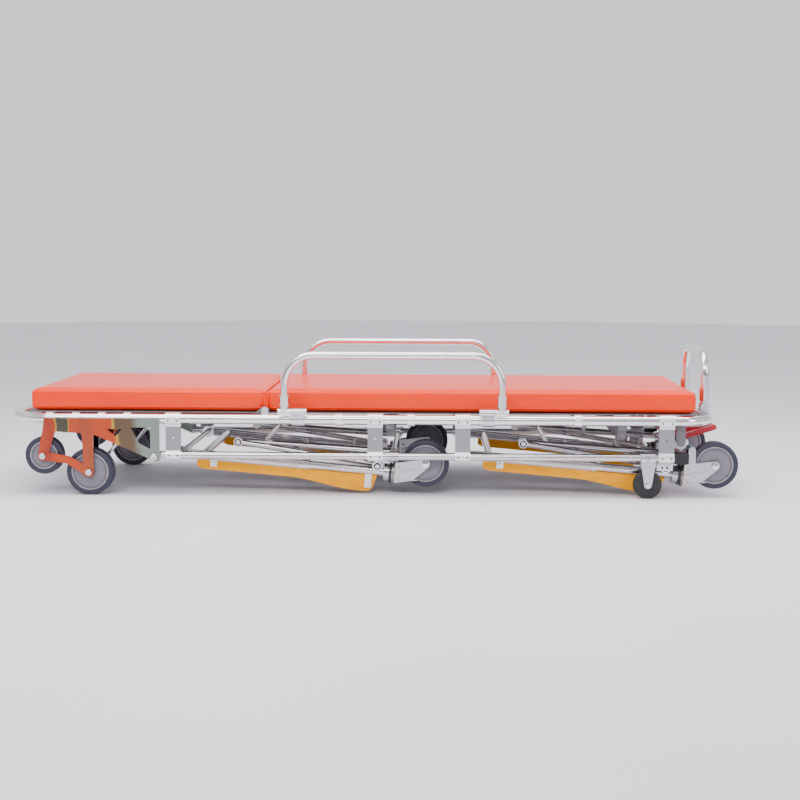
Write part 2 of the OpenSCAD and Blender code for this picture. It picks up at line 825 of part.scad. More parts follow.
module support_wheel_right() { support_wheel(-1); }
module support_wheel_left() { support_wheel(1); }

/* ---- release levers ---- */

// U lever: two arms from a shaft to a grip, bent up at a quarter of their length
module lever(hinge, reach, rise, y0, y1, r) {
    mid = hinge + [reach * 0.3, rise * 0.15];
    tip = hinge + [reach, rise];
    difference() {
        union() {
            for (y = [y0, y1]) {
                rod_y(y - 7, y + 7, hinge[0], hinge[1], 12);
                slab_xz(y - r, y + r) {
                    bar_2d(hinge, mid, 20, 2 * r);
                    bar_2d(mid, tip, 2 * r, 2 * r);
                }
            }
            rod_y(y0, y1, tip[0], tip[1], r + 0.8);
        }
        rod_y(y0 - 8, y1 + 8, hinge[0], hinge[1], lever_shaft_r + fit);
    }
}

module foot_lever_right() { color("crimson") lever(foot_lever_hinge, 106, 27, -143, -60, 7); }
module foot_lever_left() { color("crimson") lever(foot_lever_hinge, 106, 27, 60, 143, 7); }
module head_lever() { color("firebrick") lever(head_lever_hinge, -82, 4, -50, 50, 6); }

upper_frame();
lower_rails();
posts();
cross_members();
pivot_shafts();
shaft_lugs();
rear_pivot_blocks();
rail_clamps();
frame_clips();
head_bracket_right();
head_bracket_left();
wheel_axles();
handle_sockets();
support_forks();
foot_deck();
foot_cushion();
backrest_lugs();
backrest_frame();
backrest_deck();
head_cushion();
side_rail_right();
side_rail_left();
push_handle();
front_leg();
front_skids();
front_housings();
rear_housings();
rear_leg();
rear_skids();
front_upper_brace();
front_lower_brace();
rear_upper_brace();
rear_lower_brace();
fork_front_right();
fork_front_left();
fork_rear_right();
fork_rear_left();
castor_hub_front_right();
castor_hub_front_left();
castor_hub_rear_right();
castor_hub_rear_left();
castor_tyre_front_right();
castor_tyre_front_left();
castor_tyre_rear_right();
castor_tyre_rear_left();
brake_pedal_right();
brake_pedal_left();
head_wheel_hub_right();
head_wheel_hub_left();
head_wheel_tyre_right();
head_wheel_tyre_left();
loading_wheel_hub_right();
loading_wheel_hub_left();
loading_wheel_tyre_right();
loading_wheel_tyre_left();
support_wheel_right();
support_wheel_left();
foot_lever_right();
foot_lever_left();
head_lever();
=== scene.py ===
import bpy
import json
import math
from mathutils import Matrix, Vector


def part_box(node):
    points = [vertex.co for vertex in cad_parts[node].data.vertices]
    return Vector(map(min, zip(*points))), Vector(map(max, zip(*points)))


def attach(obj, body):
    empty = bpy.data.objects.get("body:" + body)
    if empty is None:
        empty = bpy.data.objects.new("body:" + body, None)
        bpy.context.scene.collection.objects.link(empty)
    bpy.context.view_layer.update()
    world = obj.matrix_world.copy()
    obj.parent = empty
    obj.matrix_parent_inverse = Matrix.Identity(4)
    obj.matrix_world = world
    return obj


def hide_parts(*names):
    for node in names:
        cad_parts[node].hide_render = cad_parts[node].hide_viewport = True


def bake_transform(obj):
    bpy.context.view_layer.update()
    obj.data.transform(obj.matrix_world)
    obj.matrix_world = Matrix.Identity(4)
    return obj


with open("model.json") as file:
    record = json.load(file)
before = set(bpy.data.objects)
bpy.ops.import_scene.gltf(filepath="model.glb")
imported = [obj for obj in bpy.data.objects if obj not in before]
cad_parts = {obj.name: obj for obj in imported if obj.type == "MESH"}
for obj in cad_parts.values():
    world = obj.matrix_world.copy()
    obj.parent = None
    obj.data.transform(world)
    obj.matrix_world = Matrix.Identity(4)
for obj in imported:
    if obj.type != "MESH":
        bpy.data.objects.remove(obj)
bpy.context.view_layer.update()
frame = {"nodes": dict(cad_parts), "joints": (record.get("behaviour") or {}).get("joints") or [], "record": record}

MM = 0.001
NODES = frame["nodes"]
JOINTS = {joint["name"]: joint for joint in frame["joints"]}
SIDES = (("right", -1), ("left", 1))
ENDS = ("front", "rear")
LEG_SLOPE = math.radians(5)

# Places in the shared frame, in metres.
POST_X = [value * MM for value in (-521.06, 12.94, 242.94, 776.94)]
SIDE_RAIL_X = (-0.225, 0.345)       # the legs of both side rails
SIDE_RAIL_Y = 0.284
SUPPORT_WHEEL_X = 0.729
FRONT_KNEE = (-0.35806, 0.1345)     # x and z of the front braces' knee


def hinge_point(joint):
    """A joint's place at rest, as a vector."""
    return Vector(JOINTS[joint]["pos_m"])


# ---------------------------------------------------------------- materials

def new_material(name, colour, metallic=0.0, roughness=0.5, coat=0.0, coat_roughness=0.1,
                 specular=0.5):
    """A principled material with its plain values set."""
    material = bpy.data.materials.new(name)
    material.use_nodes = True
    shader = material.node_tree.nodes["Principled BSDF"]
    shader.inputs["Base Color"].default_value = (*colour, 1)
    shader.inputs["Metallic"].default_value = metallic
    shader.inputs["Roughness"].default_value = roughness
    shader.inputs["Coat Weight"].default_value = coat
    shader.inputs["Coat Roughness"].default_value = coat_roughness
    shader.inputs["Specular IOR Level"].default_value = specular
    return material


def add_node(material, kind, **settings):
    node = material.node_tree.nodes.new(kind)
    for name, value in settings.items():
        setattr(node, name, value)
    return node


def link(material, output, socket):
    material.node_tree.links.new(output, socket)


def shader_of(material):
    return material.node_tree.nodes["Principled BSDF"]


def object_pattern(material, kind, scale, stretch=(1, 1, 1), detail=4.0, **settings):
    """A noise, voronoi or wave texture on object coordinates, stretched per axis."""
    coordinates = add_node(material, "ShaderNodeTexCoord")
    mapping = add_node(material, "ShaderNodeMapping")
    mapping.inputs["Scale"].default_value = stretch
    texture = add_node(material, kind, **settings)
    texture.inputs["Scale"].default_value = scale
    if "Detail" in texture.inputs:
        texture.inputs["Detail"].default_value = detail
    link(material, coordinates.outputs["Object"], mapping.inputs["Vector"])
    link(material, mapping.outputs["Vector"], texture.inputs["Vector"])
    return texture


def object_axes(material):
    """The object coordinates, one by one."""
    coordinates = add_node(material, "ShaderNodeTexCoord")
    split = add_node(material, "ShaderNodeSeparateXYZ")
    link(material, coordinates.outputs["Object"], split.inputs["Vector"])
    return split.outputs


def share_between(material, value, low, high, floor=0.0):
    """Where value stands between low and high, as floor to 1."""
    place = add_node(material, "ShaderNodeMapRange")
    place.inputs["From Min"].default_value = low
    place.inputs["From Max"].default_value = high
    place.inputs["To Min"].default_value = floor
    link(material, value, place.inputs["Value"])
    return place.outputs["Result"]


def scaled_sum(material, value, factor, added):
    """Value times factor, plus added."""
    total = add_node(material, "ShaderNodeMath", operation="MULTIPLY_ADD")
    total.inputs[1].default_value = factor
    link(material, value, total.inputs[0])
    link(material, added, total.inputs[2])
    return total.outputs["Value"]


def above(material, value, limit):
    """1 where value is greater than limit, else 0."""
    test = add_node(material, "ShaderNodeMath", operation="GREATER_THAN")
    test.inputs[1].default_value = limit
    link(material, value, test.inputs[0])
    return test.outputs["Value"]


def colour_ramp(material, fac, stops):
    """A ramp over fac; stops are (place, colour)."""
    ramp = add_node(material, "ShaderNodeValToRGB")
    elements = ramp.color_ramp.elements
    while len(elements) < len(stops):
        elements.new(0.5)
    for element, (place, colour) in zip(elements, stops):
        element.position = place
        element.color = (*colour, 1)
    link(material, fac, ramp.inputs["Fac"])
    return ramp.outputs["Color"]


def vary_colour(material, fac, stops):
    """Colour of the surface as a ramp over fac."""
    link(material, colour_ramp(material, fac, stops), shader_of(material).inputs["Base Color"])


def vary_roughness(material, fac, low, high):
    remap = add_node(material, "ShaderNodeMapRange")
    remap.inputs["To Min"].default_value = low
    remap.inputs["To Max"].default_value = high
    link(material, fac, remap.inputs["Value"])
    link(material, remap.outputs["Result"], shader_of(material).inputs["Roughness"])


def add_bump(material, height, distance, strength=1.0):
    """Bump on top of what the shader's normal already has."""
    bump = add_node(material, "ShaderNodeBump")
    bump.inputs["Strength"].default_value = strength
    bump.inputs["Distance"].default_value = distance
    normal = shader_of(material).inputs["Normal"]
    if normal.is_linked:
        link(material, normal.links[0].from_socket, bump.inputs["Normal"])
    link(material, height, bump.inputs["Height"])
    link(material, bump.outputs["Normal"], normal)


def mix(colour, other, share):
    return tuple(a + (b - a) * share for a, b in zip(colour, other))


WHITE = (1.0, 1.0, 1.0)
BLACK = (0.0, 0.0, 0.0)


def metal(name, colour, low, high, draw=(6, 260, 260), grain=0.00004):
    """Bare metal with fine draw lines along draw's slow axis and cloudy handling marks."""
    material = new_material(name, colour, metallic=1.0, roughness=high)
    lines = object_pattern(material, "ShaderNodeTexNoise", 10, stretch=draw, detail=3)
    clouds = object_pattern(material, "ShaderNodeTexNoise", 14, detail=6)
    vary_colour(material, clouds.outputs["Fac"],
                [(0.3, mix(colour, BLACK, 0.12)), (0.55, colour), (0.8, mix(colour, WHITE, 0.15))])
    vary_roughness(material, clouds.outputs["Fac"], low, high)
    add_bump(material, lines.outputs["Fac"], grain)
    return material


def cast_metal(name, colour, roughness, pit=0.0002, pit_scale=420):
    """Blasted or cast metal: an even grain, a little duller in patches."""
    material = new_material(name, colour, metallic=0.9, roughness=roughness)
    grain = object_pattern(material, "ShaderNodeTexNoise", pit_scale, detail=2)
    clouds = object_pattern(material, "ShaderNodeTexNoise", 22, detail=5)
    vary_colour(material, clouds.outputs["Fac"],
                [(0.25, mix(colour, BLACK, 0.2)), (0.6, colour), (0.9, mix(colour, WHITE, 0.12))])
    vary_roughness(material, clouds.outputs["Fac"], roughness - 0.08, roughness + 0.1)
    add_bump(material, grain.outputs["Fac"], pit)
    return material


def plastic(name, colour, roughness, grain=0.00012, grain_scale=700, coat=0.0, specular=0.4):
    """Moulded plastic or rubber with a fine grain and faint scuffs."""
    material = new_material(name, colour, roughness=roughness, coat=coat, specular=specular)
    fine = object_pattern(material, "ShaderNodeTexNoise", grain_scale, detail=2)
    scuffs = object_pattern(material, "ShaderNodeTexNoise", 30, stretch=(1, 1, 3), detail=7)
    vary_colour(material, scuffs.outputs["Fac"],
                [(0.3, mix(colour, BLACK, 0.14)), (0.6, colour), (0.85, mix(colour, WHITE, 0.03))])
    vary_roughness(material, scuffs.outputs["Fac"], roughness - 0.06, roughness + 0.14)
    add_bump(material, fine.outputs["Fac"], grain)
    return material


def post_metal():
    """Grey blasted plate between two bright saddles, told apart by height."""
    material = new_material("post_aluminium", (0.4, 0.4, 0.42), metallic=0.9, roughness=0.4)
    clouds = object_pattern(material, "ShaderNodeTexNoise", 30, detail=6)
    place = share_between(material, object_axes(material)["Z"], 0.09, 0.22)
    grey, bright, line = (0.33, 0.33, 0.35), (0.93, 0.93, 0.95), (0.2, 0.2, 0.21)
    vary_colour(material, place, [(0.0, bright), (0.232, bright), (0.24, line), (0.252, grey),
                                  (0.7, grey), (0.712, line), (0.72, bright), (1.0, bright)])
    vary_roughness(material, clouds.outputs["Fac"], 0.24, 0.5)
    grain = object_pattern(material, "ShaderNodeTexNoise", 500, detail=2)
    add_bump(material, grain.outputs["Fac"], 0.00012)
    return material


def hanger_steel():
    """Bright steel, with the hangers inside the head wheels painted near black as painted shade."""
    colour = (0.52, 0.5, 0.51)
    material = metal("hanger_steel", colour, 0.12, 0.3)
    distance = add_node(material, "ShaderNodeMath", operation="ABSOLUTE")
    link(material, object_axes(material)["Y"], distance.inputs[0])
    place = share_between(material, distance.outputs["Value"], 0.2302, 0.2312)
    # Painted shade: near black where |y| is under 0.2302, inside the head wheels, standing in for the shadow
    # between the wheels.
    vary_colour(material, place, [(0.0, (0.03, 0.03, 0.033)), (1.0, colour)])
    return material


def orange_vinyl():
    """Coated upholstery: pebbled grain, soft gloss, a little lighter and darker in broad patches."""
    colour = (1.0, 0.042, 0.0)
    material = new_material("orange_vinyl", colour, roughness=0.36, coat=0.24, coat_roughness=0.12,
                            specular=0.1)
    pebbles = object_pattern(material, "ShaderNodeTexVoronoi", 620, feature="F1")
    clouds = object_pattern(material, "ShaderNodeTexNoise", 5, detail=5)
    creases = object_pattern(material, "ShaderNodeTexNoise", 26, stretch=(1, 1.6, 1), detail=8)
    vary_colour(material, clouds.outputs["Fac"],
                [(0.3, (0.93, 0.034, 0.0)), (0.55, colour), (0.8, (1.0, 0.052, 0.002))])
    vary_roughness(material, creases.outputs["Fac"], 0.28, 0.46)
    add_bump(material, pebbles.outputs["Distance"], 0.00012, 0.6)
    add_bump(material, creases.outputs["Fac"], 0.0012, 0.35)
    return material


def bracket_blend():
    """Plate coloured with a painted reflection: orange red with yellow fringes, turning grey green towards the
    post, and a painted shadow in the brown band where the grey green begins.
    """
    material = new_material("orange_bracket", (0.6, 0.12, 0.03), metallic=0.55, roughness=0.3,
                            coat=0.3)
    axes = object_axes(material)
    clouds = object_pattern(material, "ShaderNodeTexNoise", 13, detail=5)
    wander = scaled_sum(material, clouds.outputs["Fac"], 0.045, axes["X"])
    lean = scaled_sum(material, axes["Z"], 0.1, wander)
    low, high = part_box("head_bracket_right")
    shift = 0.038       # what wander and lean add to x on average
    place = share_between(material, lean, low[0] + shift, high[0] + shift)
    red, deep, dull_red = (0.5, 0.055, 0.006), (0.34, 0.032, 0.012), (0.34, 0.06, 0.018)
    yellow, olive = (0.55, 0.36, 0.02), (0.06, 0.055, 0.035)
    painted_shadow_brown, sage = (0.12, 0.07, 0.035), (0.2, 0.25, 0.2)
    # Painted reflection along x, leaning with height: orange red, a yellow fringe, then grey green; the brown
    # stops are a painted shadow where the grey green begins.
    plate = colour_ramp(material, place, [
        (0.0, red), (0.1, deep), (0.15, red), (0.3, red), (0.42, dull_red), (0.5, red), (0.625, red),
        (0.64, yellow), (0.665, painted_shadow_brown), (0.78, painted_shadow_brown), (0.85, sage), (1.0, sage)])
    # A yellow to olive patch on the upper part of the plate.
    patch = colour_ramp(material, place, [
        (at, (grey, grey, grey)) for at, grey in
        ((0.0, 0), (0.135, 0), (0.15, 0.5), (0.16, 1), (0.255, 1), (0.265, 0.5), (0.28, 0))])
    upper_part = above(material, axes["Z"], 0.165)
    share = add_node(material, "ShaderNodeMath", operation="MULTIPLY")
    link(material, patch, share.inputs[0])
    link(material, upper_part, share.inputs[1])
    share = share.outputs["Value"]
    upper_patch_colour = colour_ramp(material, share, [(0.4, yellow), (0.7, olive)])
    blend = add_node(material, "ShaderNodeMix", data_type="RGBA")
    link(material, above(material, share, 0.2), blend.inputs[0])
    link(material, plate, blend.inputs[6])
    link(material, upper_patch_colour, blend.inputs[7])
    link(material, blend.outputs[2], shader_of(material).inputs["Base Color"])
    vary_roughness(material, clouds.outputs["Fac"], 0.16, 0.4)
    fine = object_pattern(material, "ShaderNodeTexNoise", 300, stretch=(0.3, 1, 1))
    add_bump(material, fine.outputs["Fac"], 0.00008)
    return material


MATERIALS = {
    "polished_tube": metal("polished_tube", (0.86, 0.85, 0.87), 0.06, 0.18),
    "drawn_aluminium": metal("drawn_aluminium", (0.66, 0.64, 0.66), 0.12, 0.28, grain=0.00006),
    "post_aluminium": post_metal(),
    "cast_clamp": cast_metal("cast_clamp", (0.72, 0.72, 0.75), 0.24, pit=0.0001),
    "grey_paint": plastic("grey_paint", (0.17, 0.16, 0.17), 0.42),
    "bright_steel": metal("bright_steel", (0.52, 0.5, 0.51), 0.12, 0.3),
    "black_plastic": plastic("black_plastic", (0.018, 0.018, 0.02), 0.45),
    "orange_bracket": bracket_blend(),
    "zinc_fork": metal("zinc_fork", (0.55, 0.55, 0.58), 0.16, 0.36, draw=(60, 60, 60),
                       grain=0.0001),
    "orange_vinyl": orange_vinyl(),
    "yellow_skid": plastic("yellow_skid", (0.98, 0.4, 0.0), 0.4, specular=0.08),
    "grey_hub": plastic("grey_hub", (0.2, 0.185, 0.22), 0.46, specular=0.3),
    "castor_tyre": plastic("castor_tyre", (0.032, 0.033, 0.055), 0.46),
    "black_wheel": plastic("black_wheel", (0.02, 0.02, 0.022), 0.48),
    "teal_pedal": plastic("teal_pedal", (0.012, 0.12, 0.1), 0.3),
    "dark_seal": plastic("dark_seal", (0.03, 0.03, 0.032), 0.4),
    "swivel_bronze": metal("swivel_bronze", (0.3, 0.26, 0.24), 0.22, 0.4, draw=(40, 40, 40)),
    "pale_ring": plastic("pale_ring", (0.6, 0.6, 0.64), 0.4),
    "chrome": metal("chrome", (0.86, 0.86, 0.88), 0.06, 0.16, draw=(30, 30, 30),
                    grain=0.00002),
    "red_grip": plastic("red_grip", (0.62, 0.004, 0.025), 0.26, coat=0.3),
}

for row in frame["record"]["subparts"]:
    skin = NODES[row["node"]].data.materials
    skin.clear()
    skin.append(MATERIALS[row["material_slot"]])
NODES["wheel_axles"].data.materials[0] = hanger_steel()


# ---------------------------------------------------------------- modelling helpers

def start_clean():
    """Nothing selected and object mode, so that an operator acts on the new piece alone."""
    if bpy.context.object and bpy.context.object.mode != "OBJECT":
        bpy.ops.object.mode_set(mode="OBJECT")
    bpy.ops.object.select_all(action="DESELECT")


def select_only(*pieces):
    start_clean()
    for piece in pieces:
        piece.select_set(True)
    bpy.context.view_layer.objects.active = pieces[0]


def freeze(piece):
    """Puts the piece's place into its mesh."""
    select_only(piece)
    bpy.ops.object.transform_apply(location=True, rotation=True, scale=True)


def apply_modifier(piece, kind, **settings):
    select_only(piece)
    modifier = piece.modifiers.new(kind.title(), kind)
    for name, value in settings.items():
        setattr(modifier, name, value)
    bpy.ops.object.modifier_apply(modifier=modifier.name)


def finish_piece(piece, name, slot, body, angle=40, paint=None):
    """Names, paints and shades a piece, and hangs it on its body."""
    freeze(piece)
    piece.name = name
    piece.data.name = name
    piece.data.materials.clear()
    piece.data.materials.append(MATERIALS[paint or slot])
    select_only(piece)
    bpy.ops.object.shade_smooth_by_angle(angle=math.radians(angle))
    if body:
        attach(piece, body)
    return piece


def copy_of(piece, matrix):
    """A copy with a mesh of its own, turned and moved by matrix."""
    twin = piece.copy()
    twin.data = piece.data.copy()
    bpy.context.collection.objects.link(twin)
    twin.data.transform(matrix)
    if matrix.determinant() < 0:
        twin.data.flip_normals()
    return twin


def join(pieces):
    select_only(*pieces)
    if len(pieces) > 1:
        bpy.ops.object.join()
    return bpy.context.object


def discard(piece):
    bpy.data.objects.remove(piece, do_unlink=True)


def add_cylinder(radius, length, place=(0, 0, 0), axis=(0, 0, 1), vertices=32):
    """A cylinder whose middle is at place."""
    start_clean()
    turn = Vector((0, 0, 1)).rotation_difference(Vector(axis)).to_euler()
    bpy.ops.mesh.primitive_cylinder_add(vertices=vertices, radius=radius, depth=length,
                                        location=place, rotation=turn)
    return bpy.context.object


def pick_faces(piece, test):
    """Edit mode with the faces whose centre and normal pass test selected."""
    select_only(piece)
    for vertex in piece.data.vertices:
        vertex.select = False
    for edge in piece.data.edges:
        edge.select = False
    for face in piece.data.polygons:
        face.select = bool(test(face.center, face.normal))
    bpy.ops.object.mode_set(mode="EDIT")
    bpy.ops.mesh.select_mode(type="FACE")


def step_face(inset, push):
    """Insets the selected end face and moves it along z."""
    bpy.ops.mesh.inset(thickness=inset, depth=0)
    if push:
        bpy.ops.transform.translate(value=(0, 0, push))


def turned_disc(radius, width, steps, vertices=72, bevel=0.0006):
    """A turned part on z: each end face is stepped by (inset, push inwards) pairs."""
    disc = add_cylinder(radius, width, vertices=vertices)
    for side in (1, -1):
        pick_faces(disc, lambda centre, normal:
                   normal.z * side > 0.9 and centre.z * side > width * 0.49)
        for inset, push in steps:
            step_face(inset, -side * push)
        bpy.ops.object.mode_set(mode="OBJECT")
    apply_modifier(disc, "BEVEL", width=bevel, segments=2, limit_method="ANGLE",
                   angle_limit=math.radians(35))
    return disc


# ---------------------------------------------------------------- bolts

def cap_bolt(radius, height):
    """Domed socket head standing on z = 0."""
    bolt = add_cylinder(radius, height, place=(0, 0, height / 2), vertices=28)
    freeze(bolt)
    pick_faces(bolt, lambda centre, normal: normal.z > 0.9)
    step_face(radius * 0.22, height * 0.16)
    step_face(radius * 0.3, 0)
    step_face(radius * 0.02, -height * 0.4)
    bpy.ops.object.mode_set(mode="OBJECT")
    apply_modifier(bolt, "BEVEL", width=radius * 0.08, segments=2, limit_method="ANGLE",
                   angle_limit=math.radians(30))
    return bolt


def hex_nut(radius, height):
    """Hexagon head on a washer, standing on z = 0."""
    nut = add_cylinder(radius, height, place=(0, 0, height * 0.65), vertices=6)
    washer = add_cylinder(radius * 1.15, height * 0.3, place=(0, 0, height * 0.15), vertices=28)
    nut = join([nut, washer])
    freeze(nut)
    apply_modifier(nut, "BEVEL", width=radius * 0.08, segments=2, limit_method="ANGLE",
                   angle_limit=math.radians(30))
    return nut


def copies_at(proto, places):
    """Copies of proto; places are (point in metres, outward axis)."""
    copies = []
    for point, axis in places:
        turn = Vector((0, 0, 1)).rotation_difference(Vector(axis)).to_matrix().to_4x4()
        copies.append(copy_of(proto, Matrix.Translation(point) @ turn))
    return copies


def bolt_set(name, body, proto, places, paint="chrome"):
    """One piece of copies of proto."""
    return finish_piece(join(copies_at(proto, places)), name, "bright_steel", body, paint=paint)


def both(point, axis):
    """A place and its mirror image on the other side."""
    return [((point[0], side * point[1], point[2]), (axis[0], side * axis[1], axis[2]))
            for side in (-1, 1)]


def rod_between(start, end, radius, vertices=24):
    """A round rod from start to end."""
    start, end = Vector(start), Vector(end)
    return add_cylinder(radius, (end - start).length, place=(start + end) / 2, axis=end - start,
                        vertices=vertices)


def rounded_plate(low, high, bevel):
    """A small plate with rounded corners."""
    start_clean()
    bpy.ops.mesh.primitive_cube_add(size=1, location=[(a + b) / 2 for a, b in zip(low, high)])
    plate = bpy.context.object
    plate.scale = [b - a for a, b in zip(low, high)]
    freeze(plate)
    apply_modifier(plate, "BEVEL", width=bevel, segments=3, limit_method="ANGLE")
    return plate


def make_head_stays():
    """Two parallel stays on each side, from the head wheel's hanger up to the cross tube."""
    axle = hinge_point("head_wheel_right_spin")
    for side, sign in SIDES:
        rods = []
        for y in (0.206, 0.219):
            rods.append(rod_between((axle.x + 0.012, sign * y, axle.z + 0.008),
                                    (-0.646, sign * y, 0.179), 0.0045))
        rods.append(rod_between((axle.x + 0.014, sign * 0.2, axle.z + 0.01),
                                (axle.x + 0.014, sign * 0.2265, axle.z + 0.01), 0.0055))
        finish_piece(join(rods), f"head_stays_{side}", "bright_steel", "frame", paint="chrome")


def make_rail_plates():
    """Small plates under the lower rails at the foot end, each with two screws."""
    screw = cap_bolt(0.003, 0.0014)
    for side, sign in SIDES:
        y = sorted((sign * 0.2565, sign * 0.2588))
        plate = rounded_plate((0.753, y[0], 0.0725), (0.7955, y[1], 0.0985), 0.0009)
        finish_piece(plate, f"rail_plate_{side}", "post_aluminium", "frame", paint="cast_clamp")
        places = [((x, sign * 0.2587, 0.081), (0, sign, 0)) for x in (0.768, 0.781)]
        bolt_set(f"rail_plate_screws_{side}", "frame", screw, places, paint="dark_seal")
    discard(screw)


def make_seam_folds():
    """Gathered cloth over the ends of the mattress seam, each with its eyelet."""
    seam = hinge_point("backrest_tilt")
    for side, sign in SIDES:
        y = sign * 0.2435
        folds = [rod_between((seam.x + shift, y, 0.2285), (seam.x + shift * 1.9, y, 0.2745),
                             0.0034, 16) for shift in (-0.0022, 0.0022)]
        fold = join(folds)
        freeze(fold)
        apply_modifier(fold, "BEVEL", width=0.0016, segments=3, limit_method="ANGLE")
        finish_piece(fold, f"seam_fold_{side}", "orange_vinyl", "frame")
        start_clean()
        bpy.ops.mesh.primitive_torus_add(
            major_radius=0.0042, minor_radius=0.0012, major_segments=28, minor_segments=10,
            location=(seam.x, sign * 0.2475, 0.2262), rotation=(math.radians(90), 0, 0))
        finish_piece(bpy.context.object, f"seam_eyelet_{side}", "bright_steel", "frame",
                     paint="chrome")


def make_rail_bolts():
    """Bolts at the ends of the side rails' hinge barrels, and two bands on each leg."""
    low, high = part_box("rail_clamps")
    bolt = cap_bolt(0.0046, 0.003)
    places = []
    for side in (-1, 1):
        y = side * SIDE_RAIL_Y
        places.append(((low[0] + 0.0003, y, 0.226), (-1, 0, 0)))
        places.append(((high[0] - 0.0003, y, 0.226), (1, 0, 0)))
    bolt_set("rail_hinge_bolts", "frame", bolt, places)
    band = turned_disc(0.0137, 0.0052, [(0.001, -0.0002), (0.0006, 0.0)], vertices=48, bevel=0.0008)
    for side, sign in SIDES:
        spots = [((x, sign * SIDE_RAIL_Y, z), (0, 0, 1))
                 for x in SIDE_RAIL_X for z in (0.2665, 0.2445)]
        piece = join(copies_at(band, spots))
        finish_piece(piece, f"side_rail_{side}_bands", "cast_clamp", f"side_rail_{side}")
    discard(bolt)
    discard(band)


def make_frame_bolts():
    """Screws on the saddles, caps on the axles, bolts through the brackets, nuts on the frame."""
    screw = cap_bolt(0.0024, 0.0012)
    small = hex_nut(0.0052, 0.004)
    big = cap_bolt(0.0088, 0.006)
    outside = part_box("posts")[1][1]
    places = []
    for x in POST_X:
        for shift in (-0.012, 0.012):
            places += both((x + shift, outside - 0.0004, 0.2), (0, 1, 0))
            places += both((x + shift, 0.2755, 0.107), (0, 1, 0))
    bolt_set("saddle_screws", "frame", screw, places, paint="dark_seal")
    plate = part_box("head_bracket_left")[1][1]
    axle_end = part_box("wheel_axles")[1][1]
    axles = [hinge_point("head_wheel_right_spin"), hinge_point("loading_wheel_right_spin")]
    places = [spot for point in axles
              for spot in both((point.x, axle_end - 0.0006, point.z), (0, 1, 0))]
    axle_cap = cap_bolt(0.0072, 0.0036)
    bolt_set("axle_bolts", "frame", axle_cap, places)
    bolt_set("bracket_bolts", "frame", big, both((-0.5705, plate - 0.0003, 0.1045), (0, 1, 0)))
    places = []
    for x in (-0.847, -0.76, -0.69):
        places += both((x, 0.2757, 0.186), (0, -1, 0))
    for shift in (-0.011, 0.011):
        places += both((SUPPORT_WHEEL_X + shift, 0.2768, 0.105), (0, 1, 0))
    places += both((SUPPORT_WHEEL_X, 0.281, 0.0375), (0, 1, 0))
    bolt_set("frame_nuts", "frame", small, places)
    for proto in (screw, small, big, axle_cap):
        discard(proto)


def make_castor_bolts():
    """Axle nuts, the forks' rivets and ribs, and the seal and race of each swivel."""
    nut = hex_nut(0.0078, 0.005)
    rivet = cap_bolt(0.0042, 0.0022)
    seal = turned_disc(0.0272, 0.0068, [(0.0012, 0.0)], vertices=64, bevel=0.0016)
    race = turned_disc(0.0307, 0.0066, [(0.002, -0.0003), (0.0012, 0.0009)], vertices=64,
                       bevel=0.0016)
    tilt = Matrix.Rotation(LEG_SLOPE, 4, "Y")
    ahead = tilt @ Vector((1, 0, 0))
    for end in ENDS:
        for side, sign in SIDES:
            body = f"fork_{end}_{side}"
            centre = hinge_point(f"castor_{end}_{side}_spin")
            place = leg_matrix(end, sign)
            faces = [(tuple(centre + Vector((0, way * 0.0262, 0))), (0, way, 0))
                     for way in (-1, 1)]
            bolt_set(f"castor_{end}_{side}_nuts", body, nut, faces)
            spots = []
            for way in (-1, 1):
                for w in (-0.010, 0.017):
                    spots.append((tuple(place @ Vector((0.586, way * 0.0214, w))), (0, way, 0)))
            bolt_set(f"castor_{end}_{side}_rivets", body, rivet, spots, paint="zinc_fork")
            ribs = []
            for way in (-1, 1):
                for w0, w1 in ((-0.017, -0.011), (0.003, 0.022)):
                    ribs.append(rod_between(place @ Vector((0.581, way * 0.0212, w0)),
                                            place @ Vector((0.636, way * 0.0212, w1)), 0.0019, 16))
            finish_piece(join(ribs), f"castor_{end}_{side}_ribs", "zinc_fork", body)
            at = place @ Vector((0.5628, 0, 0))
            piece = join(copies_at(seal, [(tuple(at), tuple(ahead))]))
            finish_piece(piece, f"swivel_{end}_{side}_seal", "black_plastic", f"{end}_leg",
                         paint="dark_seal")
            at = place @ Vector((0.5712, 0, 0))
            piece = join(copies_at(race, [(tuple(at), tuple(ahead))]))
            finish_piece(piece, f"swivel_{end}_{side}_race", "zinc_fork", body,
                         paint="swivel_bronze")
    for proto in (nut, rivet, seal, race):
        discard(proto)


def make_brace_fittings():
    """Bolts with dark rings at the knees and on the legs, and the skids' bolts."""
    bolt = cap_bolt(0.0062, 0.0035)
    ring = turned_disc(0.0094, 0.0016, [(0.001, 0.0)], vertices=40, bevel=0.0003)
    for end in ENDS:
        shift = hinge_point(f"{end}_leg_fold").x - hinge_point("front_leg_fold").x
        knee = (FRONT_KNEE[0] + shift, FRONT_KNEE[1])
        for part, reach in (("upper", 0.191), ("lower", 0.208)):
            places = both((knee[0], reach - 0.0004, knee[1]), (0, 1, 0))
            bolt_set(f"{end}_{part}_knee_bolts", f"{end}_{part}_brace", bolt, places)
            bolt_set(f"{end}_{part}_knee_rings", f"{end}_{part}_brace", ring, places,
                     paint="dark_seal")
        for side, sign in SIDES:
            place = leg_matrix(end, sign)
            spots = [(tuple(place @ Vector((0.527, sign * 0.0118, 0.015))), (0, sign, 0)),
                     (tuple(place @ Vector((0, sign * 0.0118, 0))), (0, sign, 0))]
            bolt_set(f"{end}_{side}_leg_bolts", f"{end}_leg", bolt, spots)
            bolt_set(f"{end}_{side}_leg_rings", f"{end}_leg", ring, spots, paint="dark_seal")
            spots = [(tuple(place @ Vector((u, sign * 0.0071, w))), (0, sign, 0))
                     for u, w in ((0.09, -0.02), (0.505, -0.038))]
            bolt_set(f"{end}_{side}_skid_bolts", f"{end}_leg", bolt, spots)
    discard(bolt)
    discard(ring)


# ---------------------------------------------------------------- mattress

